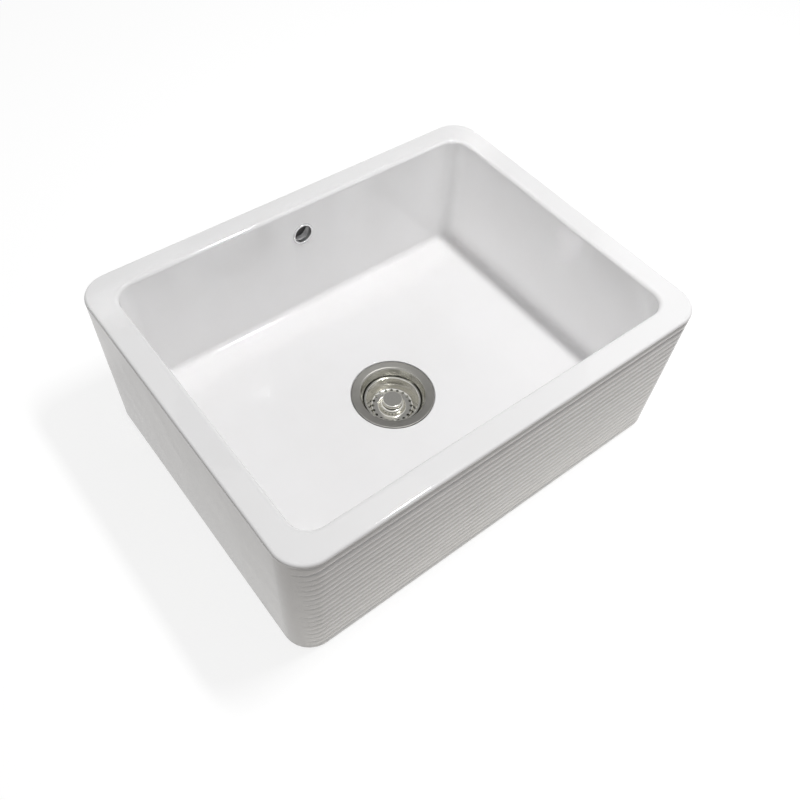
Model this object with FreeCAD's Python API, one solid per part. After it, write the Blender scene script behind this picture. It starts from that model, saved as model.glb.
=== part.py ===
import FreeCAD, Part
import math
import os

from FreeCAD import Placement, Rotation, Vector

# A fireclay butler sink with a ribbed apron, an overflow cast into its back wall and a basket
# strainer waste. All sizes are in millimetres. The origin is the middle of the foot plane, +Z is
# up, the ribbed apron faces -Y and the overflow is in the back wall at +Y.

# Fireclay body
sink_width = 595.0
sink_depth = 460.0
sink_height = 220.0
corner_radius = 38.0
wall_draft = 3.0
rim_width = 32.0
rim_outer_round = 3.5
rim_inner_round = 5.0
foot_round = 6.0
foot_width = 36.0
recess_depth = 14.0
recess_lean = 2.0
recess_round = 6.0
recess_corner_radius = 20.0
floor_thickness = 32.0
bowl_corner_radius = 26.0
bowl_wall_lean = 7.0
bowl_floor_round = 9.0
floor_fall = 2.5
floor_fall_margin = 8.0

# Ribs combed into the apron
rib_pitch = 11.75
rib_depth = 1.4
rib_set_in = 0.15
rib_bead = 15.0
rib_land = 1.9
rib_run_out = 1.9

# Overflow in the back wall
overflow_drop = 45.0
overflow_hole_radius = 13.5
overflow_skin = 13.0
duct_depth = 10.0
duct_width = 60.0
duct_head = 8.0
duct_round = 4.0
channel_width = 40.0
channel_height = 10.0
channel_skin = 9.0
ring_lap = 2.0
ring_face = 1.5
ring_sleeve = 4.5
ring_wall = 0.9
ring_round = 1.0
sleeve_clearance = 0.15

# Waste opening in the bowl floor
waste_offset = 10.5
waste_hole_radius = 45.5
waste_hole_round = 1.5
rebate_depth = 3.0
rebate_clearance = 1.0

# Strainer cup pressed from sheet
flange_width = 12.0
flange_lip = 1.2
cup_sheet = 1.0
cup_gap = 4.0
cup_depth = 31.0
cup_slope = 10.0
cup_taper = 0.8
cup_floor_round = 5.0
sump_radius = 19.0
sump_depth = 12.0
sump_drains = 8
sump_drain_radius = 3.2

# Seals that clamp to the clay
flange_seal_thickness = 2.0
under_seal_thickness = 2.5
seal_margin = 1.5

# Waste body under the sink
body_flange_thickness = 4.0
body_wall = 3.0
body_skirt = 15.0
funnel_height = 20.0
outlet_radius = 23.9
outlet_wall = 3.9
outlet_length = 32.0
hub_radius = 8.5
hub_drop = 6.0
hub_height = 18.0
web_thickness = 3.0
web_height = 14.0
insert_wall = 2.6
insert_length = 14.0

# Clamping screw
screw_radius = 3.0
screw_head_radius = 6.0
screw_head_height = 3.0
screw_slot = 1.4
screw_seal_thickness = 1.5
screw_hole_clearance = 0.3
thread_clearance = 0.03

# Lift-out basket
basket_sheet = 0.8
basket_clearance = 1.2
basket_height = 16.3
basket_rim_width = 2.4
trough_width = 10.0
hub_top_radius = 16.0
hub_foot_radius = 18.5
hub_rise = 8.0
basket_holes = 20
basket_hole_radius = 2.0
basket_hole_inset = 2.2
disc_thickness = 3.0
disc_lap = 4.5
seat_gap = 0.1
backing_thickness = 1.0
backing_clearance = 3.0
stem_radius = 3.0
spacer_wall = 2.6
knob_radius = 14.0
knob_neck_radius = 9.0
knob_neck_height = 1.2
knob_head_height = 6.3
nut_flats = 10.0
nut_height = 4.0
stem_end = 0.6

up = Vector(0, 0, 1)
middle = Vector(0, 0, 0)

# Places worked out from the sizes above
bowl_floor = recess_depth + floor_thickness
bowl_depth = sink_height - bowl_floor
bowl_half_x = sink_width / 2 - rim_width
bowl_half_y = sink_depth / 2 - rim_width
waste_axis = Vector(0, -waste_offset, 0)
floor_at_waste = bowl_floor - floor_fall
rebate_floor = floor_at_waste - rebate_depth
cup_radius = waste_hole_radius - cup_gap - cup_sheet
flange_underside = rebate_floor + flange_seal_thickness
flange_top = flange_underside + cup_sheet
mouth_radius = cup_radius + cup_gap
flange_radius = mouth_radius + flange_width
rebate_radius = flange_radius + rebate_clearance
seat_top = flange_top - cup_depth
sump_floor = seat_top - sump_depth
cup_foot_radius = cup_radius - cup_taper
body_top = recess_depth - under_seal_thickness
body_flange_radius = flange_radius + seal_margin
body_bore = waste_hole_radius
funnel_top = body_top - body_skirt
outlet_top = funnel_top - funnel_height
outlet_bottom = outlet_top - outlet_length
outlet_bore = outlet_radius - outlet_wall
hub_top = funnel_top + hub_drop - funnel_height / 2
screw_seat = sump_floor + screw_seal_thickness
insert_radius = screw_radius + insert_wall
disc_bottom = seat_top + seat_gap
basket_floor = disc_bottom + disc_thickness
basket_top = basket_floor + basket_height
basket_radius = cup_foot_radius - basket_clearance
trough_radius = hub_foot_radius + trough_width
knob_seat = basket_floor + hub_rise + basket_sheet
backing_bottom = disc_bottom - backing_thickness
nut_bottom = backing_bottom - nut_height


def rounded_wire(corners):
    """Closed outline in the XZ plane. Each corner is x, z and the radius that rounds it."""
    points = [Vector(x, 0, z) for x, z, rounding in corners]
    count = len(corners)
    bends = []
    for index, (x, z, rounding) in enumerate(corners):
        here = points[index]
        if rounding == 0:
            bends.append((here, here, here))
            continue
        to_last = (points[index - 1] - here).normalize()
        to_next = (points[(index + 1) % count] - here).normalize()
        half_angle = to_last.getAngle(to_next) / 2
        reach = rounding / math.tan(half_angle)
        crown = rounding / math.sin(half_angle) - rounding
        crown_point = here + (to_last + to_next).normalize() * crown
        bends.append((here + to_last * reach, crown_point, here + to_next * reach))
    edges = []
    for index, (arrive, crown_point, leave) in enumerate(bends):
        if arrive != leave:
            edges.append(Part.Arc(arrive, crown_point, leave).toShape())
        edges.append(Part.makeLine(leave, bends[(index + 1) % count][0]))
    return Part.Wire(edges)


def turned(corners, centre=middle):
    """Solid of revolution about an upright axis, from corners given as radius, height, rounding."""
    return Part.Face(rounded_wire(corners)).revolve(middle, up, 360).translated(centre)


def tube(inner, outer, low, high, centre=middle):
    """Plain ring or sleeve between two heights."""
    return turned([(inner, low, 0), (outer, low, 0), (outer, high, 0), (inner, high, 0)], centre)


def pan(corners, half_x, half_y):
    """Rounded block whose wall section runs along four sides and turns round four upright corners.

    The section is measured outwards from the corner axes, which stand half_x and half_y from the
    middle."""
    section = Part.Face(rounded_wire(corners))
    heights = [z for x, z, rounding in corners]
    low = min(heights)
    core = Part.makeBox(2 * half_x, 2 * half_y, max(heights) - low, Vector(-half_x, -half_y, low))
    walls = []
    for turn, out, run in ((0, half_x, half_y), (90, half_y, half_x), (180, half_x, half_y), (270, half_y, half_x)):
        side = section.translated(Vector(out, -run, 0)).extrude(Vector(0, 2 * run, 0))
        corner = section.revolve(middle, up, 90).translated(Vector(out, run, 0))
        walls.append(side.rotated(middle, up, turn))
        walls.append(corner.rotated(middle, up, turn))
    return core.multiFuse(walls).removeSplitter()


def slot_block(width, low_y, high_y, low_z, high_z, rounding):
    """Block centred on x = 0 with its four edges along Y rounded."""
    half = width / 2
    corners = [(-half, low_z, rounding), (half, low_z, rounding), (half, high_z, rounding), (-half, high_z, rounding)]
    section = Part.Face(rounded_wire(corners)).translated(Vector(0, low_y, 0))
    return section.extrude(Vector(0, high_y - low_y, 0))


def around(shape, count, centre):
    """Copies of a shape spaced evenly round an upright axis."""
    return [shape.rotated(centre, up, 360.0 * index / count) for index in range(count)]


def outer_wall(height):
    """Distance of the plain outer wall from the corner axis at a height."""
    return corner_radius - wall_draft * (1 - height / sink_height)


def back_inner_wall(height):
    """Y of the bowl's back wall at a height."""
    return bowl_half_y - bowl_wall_lean * (sink_height - height) / bowl_depth


def rib_comb():
    """Cutter for the apron's ribs: a bar along the front and a ring round each front corner.

    The rings stand further out than the corners, so the grooves run out before the plain sides."""
    outside = corner_radius + rib_run_out + rib_depth
    top = sink_height - rim_outer_round - rib_land - rib_depth
    bottom = foot_round + rib_land + rib_depth
    rows = int((top - rib_bead - bottom) / rib_pitch)
    valleys = [top] + [top - rib_bead - rib_pitch * row for row in range(rows + 1)]

    def groove(height):
        return Vector(outer_wall(height) - rib_set_in - rib_depth, 0, height)

    edges = []
    for high, low in zip(valleys, valleys[1:]):
        crest_height = (high + low) / 2
        crest = Vector(outer_wall(crest_height) - rib_set_in, 0, crest_height)
        edges.append(Part.Arc(groove(high), crest, groove(low)).toShape())
    first = groove(valleys[0])
    last = groove(valleys[-1])
    flank_top = Vector(outside, 0, first.z + outside - first.x)
    flank_bottom = Vector(outside, 0, last.z - outside + last.x)
    edges.append(Part.makeLine(last, flank_bottom))
    edges.append(Part.makeLine(flank_bottom, flank_top))
    edges.append(Part.makeLine(flank_top, first))
    section = Part.Face(Part.Wire(edges))
    out = sink_depth / 2 - corner_radius
    run = sink_width / 2 - corner_radius + rib_run_out
    bar = section.translated(Vector(out, -run, 0)).extrude(Vector(0, 2 * run, 0))
    right_ring = section.revolve(middle, up, 90).translated(Vector(out, run, 0))
    left_ring = section.revolve(middle, up, -90).translated(Vector(out, -run, 0))
    return bar.multiFuse([right_ring, left_ring]).rotated(middle, up, -90)


def bowl_hollow():
    """The bowl, with leaning walls, a coved floor and a rounded rim edge."""
    rim_edge = bowl_corner_radius
    floor_edge = bowl_corner_radius - bowl_wall_lean
    section = [
        (0, bowl_floor, 0),
        (floor_edge, bowl_floor, bowl_floor_round),
        (rim_edge, sink_height, rim_inner_round),
        (rim_edge + rim_width / 2, sink_height, 0),
        (rim_edge + rim_width / 2, sink_height + rim_width, 0),
        (0, sink_height + rim_width, 0),
    ]
    return pan(section, bowl_half_x - bowl_corner_radius, bowl_half_y - bowl_corner_radius)


def waste_well():
    """Cutter for the floor's fall to the waste, the flange rebate and the waste hole."""
    reach = bowl_half_y - bowl_wall_lean - bowl_floor_round - waste_offset - floor_fall_margin
    fall = Part.BezierCurve()
    start = Vector(reach, 0, bowl_floor)
    end = Vector(rebate_radius, 0, floor_at_waste)
    fall.setPoles([start, Vector((start.x + end.x) / 2, 0, bowl_floor - floor_fall / 8), end])
    lid = bowl_floor + floor_fall
    corners = [start, Vector(reach, 0, lid), Vector(0, 0, lid), Vector(0, 0, floor_at_waste), end]
    edges = [fall.toShape()]
    for first, second in zip(corners, corners[1:]):
        edges.append(Part.makeLine(first, second))
    edges[-1].reverse()
    dish = Part.Face(Part.Wire(Part.__sortEdges__(edges))).revolve(middle, up, 360)
    well = turned([
        (0, recess_depth - rebate_depth, 0),
        (waste_hole_radius, recess_depth - rebate_depth, 0),
        (waste_hole_radius, rebate_floor, waste_hole_round),
        (rebate_radius, rebate_floor, waste_hole_round),
        (rebate_radius, lid, 0),
        (0, lid, 0),
    ])
    return dish.fuse(well).translated(waste_axis)


def overflow_place():
    """Placement on the leaning back wall, with its Z axis pointing square out into the bowl."""
    height = sink_height - overflow_drop
    lean = math.atan2(bowl_wall_lean, bowl_depth)
    outwards = Vector(0, -math.cos(lean), math.sin(lean))
    return Placement(Vector(0, back_inner_wall(height), height), Rotation(up, outwards))


def overflow_passage():
    """Hole behind the overflow ring, the duct down the back wall and the channel to the waste."""
    height = sink_height - overflow_drop
    duct_front = back_inner_wall(height) + overflow_skin
    duct_back = duct_front + duct_depth
    channel_low = recess_depth + channel_skin
    channel_high = channel_low + channel_height
    hole_length = overflow_skin + duct_depth / 2
    hole = Part.makeCylinder(overflow_hole_radius, 2 * hole_length, Vector(0, 0, -hole_length))
    hole.Placement = overflow_place()
    duct_top = height + overflow_hole_radius + duct_head
    duct = slot_block(duct_width, duct_front, duct_back, channel_low, duct_top, duct_round)
    waste_side = waste_axis.y + waste_hole_radius - cup_gap
    channel = slot_block(channel_width, waste_side, duct_back, channel_low, channel_high, duct_round)
    return hole.multiFuse([duct, channel])


def make_sink_body():
    """The fired clay body in one piece."""
    foot_edge = outer_wall(0)
    block = pan([
        (0, 0, 0),
        (foot_edge, 0, foot_round),
        (corner_radius, sink_height, rim_outer_round),
        (0, sink_height, 0),
    ], sink_width / 2 - corner_radius, sink_depth / 2 - corner_radius)
    inset = corner_radius - foot_edge + foot_width + recess_corner_radius
    recess = pan([
        (0, -recess_depth, 0),
        (recess_corner_radius, -recess_depth, 0),
        (recess_corner_radius, 0, 0),
        (recess_corner_radius - recess_lean, recess_depth, recess_round),
        (0, recess_depth, 0),
    ], sink_width / 2 - inset, sink_depth / 2 - inset)
    body = block.cut(rib_comb())
    for hollow in (bowl_hollow(), recess, waste_well(), overflow_passage()):
        body = body.cut(hollow)
    return body.removeSplitter()


def make_overflow_ring():
    """Plated trim ring whose sleeve pushes into the overflow hole."""
    sleeve = overflow_hole_radius - sleeve_clearance
    ring = turned([
        (sleeve - ring_wall, -ring_sleeve, 0),
        (sleeve, -ring_sleeve, 0),
        (sleeve, 0, 0),
        (overflow_hole_radius + ring_lap, 0, 0),
        (overflow_hole_radius + ring_lap, ring_face, ring_round),
        (sleeve - ring_wall, ring_face, ring_round),
    ])
    ring.Placement = overflow_place()
    return ring


def make_flange_seal():
    """Flat ring under the strainer cup's flange."""
    inner = waste_hole_radius + waste_hole_round + seal_margin
    outer = flange_radius - cup_sheet - seal_margin
    return tube(inner, outer, rebate_floor, flange_underside, waste_axis)


def make_strainer_cup():
    """Pressed cup with a flange that laps the clay, a seat for the plug disc and a drained sump."""
    slope_foot = flange_top - cup_slope
    sheet = cup_sheet
    cup = turned([
        (flange_radius, flange_underside - flange_lip, 0),
        (flange_radius, flange_top, 1.5 * sheet),
        (mouth_radius, flange_top, 3 * sheet),
        (cup_radius, slope_foot, 6 * sheet),
        (cup_foot_radius, seat_top, cup_floor_round),
        (sump_radius, seat_top, sheet),
        (sump_radius - cup_taper, sump_floor, 2 * sheet),
        (screw_radius + screw_hole_clearance, sump_floor, 0),
        (screw_radius + screw_hole_clearance, sump_floor - sheet, 0),
        (sump_radius - cup_taper + sheet, sump_floor - sheet, 3 * sheet),
        (sump_radius + sheet, seat_top - sheet, 0),
        (cup_foot_radius + sheet, seat_top - sheet, cup_floor_round + sheet),
        (cup_radius + sheet, slope_foot - sheet / 2, 7 * sheet),
        (mouth_radius + sheet / 2, flange_underside, 2 * sheet),
        (flange_radius - sheet, flange_underside, sheet / 2),
        (flange_radius - sheet, flange_underside - flange_lip, 0),
    ], waste_axis)
    drain_circle = (screw_head_radius + sump_radius) / 2
    half_step = Rotation(up, 180.0 / sump_drains)
    drain_place = waste_axis + half_step.multVec(Vector(drain_circle, 0, sump_floor - 2 * sheet))
    drain = Part.makeCylinder(sump_drain_radius, 3 * sheet, drain_place)
    return cup.cut(Part.makeCompound(around(drain, sump_drains, waste_axis)))


def make_under_seal():
    """Thick ring between the clay's underside and the waste body."""
    return tube(waste_hole_radius + seal_margin, flange_radius, body_top, recess_depth, waste_axis)


def make_waste_body():
    """Moulded lower body: clamping flange, funnel, threaded outlet and a webbed hub for the screw."""
    flange_bottom = body_top - body_flange_thickness
    outside = [
        (body_flange_radius, body_top, 0),
        (body_flange_radius, flange_bottom, body_flange_thickness / 4),
        (body_bore + body_wall, flange_bottom, body_wall),
        (body_bore + body_wall, funnel_top, 2 * body_wall),
        (outlet_radius, outlet_top, body_wall),
        (outlet_radius, outlet_bottom, 0),
    ]
    inside = [
        (outlet_bore, outlet_bottom, 0),
        (outlet_bore, outlet_top + body_wall, body_wall),
        (body_bore, funnel_top + body_wall, body_wall),
        (body_bore, body_top, 0),
    ]
    shell = turned(outside + inside, waste_axis)
    filled = turned(outside + [(0, outlet_bottom, 0), (0, body_top, 0)], waste_axis)
    hub_place = waste_axis + Vector(0, 0, hub_top - hub_height)
    hub = Part.makeCylinder(hub_radius, hub_height, hub_place)
    web_low = hub_top - (hub_height + web_height) / 2
    web_corner = waste_axis + Vector(-body_bore, -web_thickness / 2, web_low)
    web = Part.makeBox(2 * body_bore, web_thickness, web_height, web_corner)
    crossed = web.fuse(web.rotated(waste_axis, up, 90)).common(filled)
    pocket_place = waste_axis + Vector(0, 0, hub_top - insert_length)
    pocket = Part.makeCylinder(insert_radius + thread_clearance, insert_length, pocket_place)
    return shell.multiFuse([hub, crossed]).cut(pocket).removeSplitter()


def make_thread_insert():
    """Threaded insert moulded into the waste body's hub."""
    bore = screw_radius + thread_clearance
    return tube(bore, insert_radius, hub_top - insert_length, hub_top, waste_axis)


def make_clamp_screw():
    """Slotted screw that draws the waste body up against the cup."""
    tip = hub_top - insert_length + screw_hole_clearance
    head_top = screw_seat + screw_head_height
    screw = turned([
        (0, tip, 0),
        (screw_radius, tip, screw_radius / 4),
        (screw_radius, screw_seat, 0),
        (screw_head_radius, screw_seat, 0),
        (screw_head_radius, head_top, screw_head_height / 3),
        (0, head_top, 0),
    ], waste_axis)
    slot_corner = waste_axis + Vector(-screw_head_radius, -screw_slot / 2, head_top - screw_head_height / 2)
    slot = Part.makeBox(2 * screw_head_radius, screw_slot, screw_head_height, slot_corner)
    return screw.cut(slot)


def make_screw_seal():
    """Sealing washer under the screw's head."""
    inner = screw_radius + screw_hole_clearance
    return tube(inner, screw_head_radius + screw_seal_thickness / 2, sump_floor, screw_seat, waste_axis)


def make_strainer_basket():
    """Pressed basket with a raised hub, a perforated trough and a turned-out rim."""
    sheet = basket_sheet
    hub_crown = basket_floor + hub_rise + sheet
    trough_top = basket_floor + sheet
    rim_inner = basket_radius - basket_rim_width
    bore = stem_radius + thread_clearance
    basket = turned([
        (bore, hub_crown - sheet, 0),
        (bore, hub_crown, 0),
        (hub_top_radius, hub_crown, 4 * sheet),
        (hub_foot_radius, trough_top, 2 * sheet),
        (trough_radius, trough_top, 4 * sheet),
        (rim_inner, basket_top, sheet),
        (basket_radius, basket_top, sheet / 3),
        (basket_radius, basket_top - sheet, sheet / 3),
        (rim_inner + sheet, basket_top - sheet, 0),
        (trough_radius + sheet / 2, basket_floor, 5 * sheet),
        (hub_foot_radius - sheet, basket_floor, 3 * sheet),
        (hub_top_radius - sheet, hub_crown - sheet, 3 * sheet),
    ], waste_axis)
    hole_circle = trough_radius - basket_hole_inset
    hole_place = waste_axis + Vector(hole_circle, 0, basket_floor - sheet)
    hole = Part.makeCylinder(basket_hole_radius, 3 * sheet, hole_place)
    return basket.cut(Part.makeCompound(around(hole, basket_holes, waste_axis)))


def make_lift_knob():
    """Low mushroom knob with the stem that carries the plug disc."""
    neck_top = knob_seat + knob_neck_height
    knob_top = neck_top + knob_head_height
    return turned([
        (0, nut_bottom - stem_end, 0),
        (stem_radius, nut_bottom - stem_end, stem_end),
        (stem_radius, knob_seat, 0),
        (knob_neck_radius, knob_seat, 0),
        (knob_neck_radius, neck_top, knob_neck_height / 2),
        (knob_radius, neck_top, knob_head_height / 4),
        (knob_radius, knob_top, knob_head_height / 4),
        (0, knob_top, 0),
    ], waste_axis)


def make_stem_spacer():
    """Sleeve on the stem between the basket's hub and the plug disc."""
    bore = stem_radius + thread_clearance
    hub_underside = basket_floor + hub_rise
    return tube(bore, bore + spacer_wall, basket_floor, hub_underside, waste_axis)


def make_seal_disc():
    """Rubber plug disc that closes the sump."""
    bore = stem_radius + thread_clearance
    outer = sump_radius + disc_lap
    lip = disc_thickness / 3
    return turned([
        (bore, disc_bottom, 0),
        (outer, disc_bottom, 0),
        (outer, basket_floor, lip),
        (bore, basket_floor, 0),
    ], waste_axis)


def make_seal_backing():
    """Plate that holds the plug disc against the spacer."""
    bore = stem_radius + thread_clearance
    return tube(bore, sump_radius - backing_clearance, backing_bottom, disc_bottom, waste_axis)


def make_stem_nut():
    """Hexagon nut on the end of the stem."""
    reach = nut_flats / 2 / math.cos(math.pi / 6)
    corners = [Vector(reach, 0, 0)]
    for side in range(1, 7):
        corners.append(Rotation(up, 60 * side).multVec(corners[0]))
    blank = Part.Face(Part.makePolygon(corners)).extrude(Vector(0, 0, nut_height))
    bore = Part.makeCylinder(stem_radius + thread_clearance, nut_height)
    return blank.cut(bore).translated(waste_axis + Vector(0, 0, nut_bottom))


pieces = {
    "sink_body": make_sink_body,
    "overflow_ring": make_overflow_ring,
    "flange_seal": make_flange_seal,
    "strainer_cup": make_strainer_cup,
    "under_seal": make_under_seal,
    "waste_body": make_waste_body,
    "thread_insert": make_thread_insert,
    "clamp_screw": make_clamp_screw,
    "screw_seal": make_screw_seal,
    "strainer_basket": make_strainer_basket,
    "lift_knob": make_lift_knob,
    "stem_spacer": make_stem_spacer,
    "seal_disc": make_seal_disc,
    "seal_backing": make_seal_backing,
    "stem_nut": make_stem_nut,
}

os.makedirs("parts", exist_ok=True)
for node, make in pieces.items():
    make().exportStep(os.path.join("parts", node + ".step"))
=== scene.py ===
import math

import bmesh
import bpy
from bpy.props import FloatProperty, FloatVectorProperty, PointerProperty
from mathutils import Matrix, Vector, noise


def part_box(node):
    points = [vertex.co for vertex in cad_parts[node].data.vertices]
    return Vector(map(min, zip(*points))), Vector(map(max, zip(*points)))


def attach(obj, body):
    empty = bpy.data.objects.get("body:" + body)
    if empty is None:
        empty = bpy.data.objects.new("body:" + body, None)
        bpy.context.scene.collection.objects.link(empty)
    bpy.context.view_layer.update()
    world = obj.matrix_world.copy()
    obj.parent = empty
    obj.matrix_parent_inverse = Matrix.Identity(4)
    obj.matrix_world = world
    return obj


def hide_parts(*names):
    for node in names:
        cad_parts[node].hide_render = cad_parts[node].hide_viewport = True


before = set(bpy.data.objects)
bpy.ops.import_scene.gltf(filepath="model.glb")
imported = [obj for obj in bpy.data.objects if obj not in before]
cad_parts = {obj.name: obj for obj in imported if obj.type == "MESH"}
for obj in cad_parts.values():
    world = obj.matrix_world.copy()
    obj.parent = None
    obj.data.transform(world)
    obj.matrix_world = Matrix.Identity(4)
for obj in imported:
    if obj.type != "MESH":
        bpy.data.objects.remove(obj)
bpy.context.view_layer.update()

bl_info = {
    "name": "Fireclay Sink",
    "version": (1, 0, 0),
    "blender": (4, 5, 0),
    "location": "3D View > Sidebar > Sink",
    "description": "Dresses a fireclay sink with its combed glaze, metals, rubber and a plain studio",
    "category": "Object",
}

# Places that the frame gives, in metres
clay_low, clay_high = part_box("sink_body")
cup_low, cup_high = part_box("strainer_cup")
ring_low, ring_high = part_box("overflow_ring")
body_low, body_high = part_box("waste_body")
waste_axis = (cup_low + cup_high) / 2
waste_axis.z = 0
ring_middle = (ring_low + ring_high) / 2
up = Vector((0, 0, 1))

# Points of the rings round the clay: along a long side, along a short side and round a corner
LONG_STEPS = 64
SHORT_STEPS = 44
CORNER_STEPS = 16

# Rings of the clay: round the bowl's edges, in the strip under the rim, over the floor's border
# and its fall, and on the level of the foot before its rounding
BOWL_STEPS = 9
STRIP_STEPS = 14
BORDER_STEPS = 10
FALL_STEPS = 15
FOOT_RINGS = 2

# Shares of the way across the recess, and from the middle of a rib to its valleys
CEILING_PARTS = (0.15, 0.35, 0.6, 0.8)
RIB_PARTS = (-0.9, -0.75, -0.5, -0.25, 0, 0.25, 0.5, 0.75, 0.9)

# Small lengths in metres: from the recess's corner axes to its first ring, the channel's lap into
# the waste hole, the drop and rounding of the waste body's flange, and between points that become one
RECESS_BORDER = 0.002
CHANNEL_LAP = 0.004
FLANGE_DISH = 0.0002
FLANGE_EDGE = 0.001
WELD = 1e-6

# Unevenness of the clay in waves to the metre: from casting, of the combed lines and of their depth,
# which is read from one slice of the noise
CAST_WAVES = 9.0
COMB_WAVES = 14.0
DEPTH_WAVES_ALONG = 23
DEPTH_WAVES_UP = 160
DEPTH_SLICE = 0.5

# Finer waves on the unevenness, with their share, and the shares of the floor's waves, of the straight
# part of the floor's fall and of the rounding at the rebate's edge
FINE_WAVES = 2.7
FINE_SHARE = 0.4
FLOOR_WAVE = 1 / 3
FALL_STRAIGHT = 0.25
REBATE_EDGE = 0.6

# The outlet's thread: rows of points to a turn, slope of a flank, flat of a crest and depth at the end
ROWS_TO_A_TURN = 10
THREAD_SLOPE = 1.5
THREAD_CREST = 0.25
THREAD_END = 0.4

# Ranges that the finishes map: where most of a noise lies, and nought to one
NOISE_RANGE = (0.3, 0.7)
WHOLE = (0.0, 1.0)

# Studio: white, the floor's squeeze, drop and reach, the camera's sensor in millimetres, the lamps
# with their spread in degrees, and the card
WHITE = (1, 1, 1)
FLOOR_SQUEEZE = (0.6, 1, 1)
FLOOR_DROP = 0.0002
FLOOR_REACH = 8.0
SENSOR_WIDTH = 36.0
SOFTBOXES = {
    "key": {"place": (0.445, -0.24, 1.8), "target": (0.445, -0.19, 0.1), "size": (0.13, 0.4)},
    "band": {"place": (0.05, 0.175, 1.4), "target": (0.05, 0.175, 0.0), "size": (0.7, 0.03), "spread": 4},
    "wall": {"place": (-0.3, 0, 0.36), "target": (0.26, 0, 0.145), "size": (0.38, 0.15), "spread": 4},
}
GREY_CARD = {"place": (0.75, 0.9, 1.4), "target": (0, 0, 0.05), "size": (1.3, 1.2)}


def length(name, description, default):
    """A size in metres that a user can change."""
    return FloatProperty(name=name, description=description, default=default, unit="LENGTH", precision=4)


def angle(name, description, degrees):
    """An angle given in degrees."""
    return FloatProperty(name=name, description=description, default=math.radians(degrees), subtype="ANGLE")


def share(name, description, default):
    """A plain number from nought upwards."""
    return FloatProperty(name=name, description=description, default=default, min=0, precision=3)


def tint(name, description, default):
    """A colour in linear light."""
    return FloatVectorProperty(
        name=name, description=description, default=default, subtype="COLOR", size=3, min=0, max=1
    )


def point(name, description, default):
    """A place in metres."""
    return FloatVectorProperty(
        name=name, description=description, default=default, subtype="TRANSLATION", size=3, precision=4
    )


class SinkClay(bpy.types.PropertyGroup):
    """Sizes of the fired clay body."""

    corner_radius: length("Corner radius", "Upright outer corners at the rim", 0.038)
    wall_draft: length("Wall draft", "How far the outer wall leans in at the foot", 0.003)
    rim_width: length("Rim width", "Flat rim between the outside and the bowl", 0.032)
    rim_outer_round: length("Rim outer round", "Rounding of the rim's outer edge", 0.0035)
    rim_inner_round: length("Rim inner round", "Rounding of the rim's inner edge", 0.005)
    foot_round: length("Foot round", "Rounding under the outer wall", 0.006)
    foot_width: length("Foot width", "Level ring that the sink stands on", 0.036)
    recess_depth: length("Recess depth", "Hollow under the base", 0.014)
    recess_lean: length("Recess lean", "How far the recess narrows upwards", 0.002)
    recess_round: length("Recess round", "Rounding of the recess ceiling", 0.006)
    recess_corner: length("Recess corner", "Upright corners of the recess", 0.02)
    recess_lip: length("Recess lip", "Rounding of the foot's inner edge", 0.0015)
    bowl_floor: length("Bowl floor", "Height of the bowl floor at the cove", 0.0468)
    bowl_corner: length("Bowl corner", "Upright corners of the bowl at the rim", 0.026)
    bowl_lean: length("Bowl lean", "How far the bowl walls lean in at the floor", 0.007)
    bowl_cove: length("Bowl cove", "Rounding between bowl wall and floor", 0.009)
    border_width: length("Border width", "Strip beside the cove where the floor still dips", 0.034)
    border_dip: length("Border dip", "Drop of the floor over that strip", 0.0013)
    fall: length("Floor fall", "Drop of the floor from the border to the waste", 0.002)
    waste_hole: length("Waste hole radius", "Hole through the base", 0.0455)
    rebate_depth: length("Rebate depth", "Seat of the strainer flange below the floor", 0.003)
    rebate_radius: length("Rebate radius", "Seat of the strainer flange", 0.0575)
    rebate_lip: length("Rebate lip", "Softened edges round the waste hole", 0.001)
    overflow_radius: length("Overflow radius", "Hole behind the overflow ring", 0.0135)
    duct_depth: length("Duct depth", "Overflow duct, front to back", 0.01)
    duct_width: length("Duct width", "Overflow duct, side to side", 0.06)
    duct_skin: length("Duct skin", "Clay between bowl and overflow duct", 0.013)
    duct_head: length("Duct head", "Room of the duct above the overflow hole", 0.008)
    channel_low: length("Channel low", "Underside of the overflow channel in the base", 0.023)
    channel_high: length("Channel high", "Top of the overflow channel in the base", 0.033)
    waviness: length("Waviness", "Unevenness left by casting and firing", 0.00035)


class SinkRibs(bpy.types.PropertyGroup):
    """The ribs combed into the apron before firing."""

    pitch: length("Pitch", "From one rib to the next", 0.01175)
    depth: length("Depth", "From crest to valley", 0.0011)
    set_in: length("Set in", "How far the crests lie inside the plain wall", 0.00015)
    bead: length("Bead", "Height of the plain bead under the rim", 0.015)
    bead_groove: length("Bead groove", "Extra depth of the two grooves beside the bead", 0.0023)
    land: length("Land", "Plain strip above and below the ribs", 0.0019)
    run_out: length("Run out", "How far the grooves rise out of the corners", 0.0016)
    wander: length("Wander", "How far the combed lines stray up and down", 0.0005)
    unevenness: share("Unevenness", "Share by which the groove depth varies", 0.22)


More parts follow.
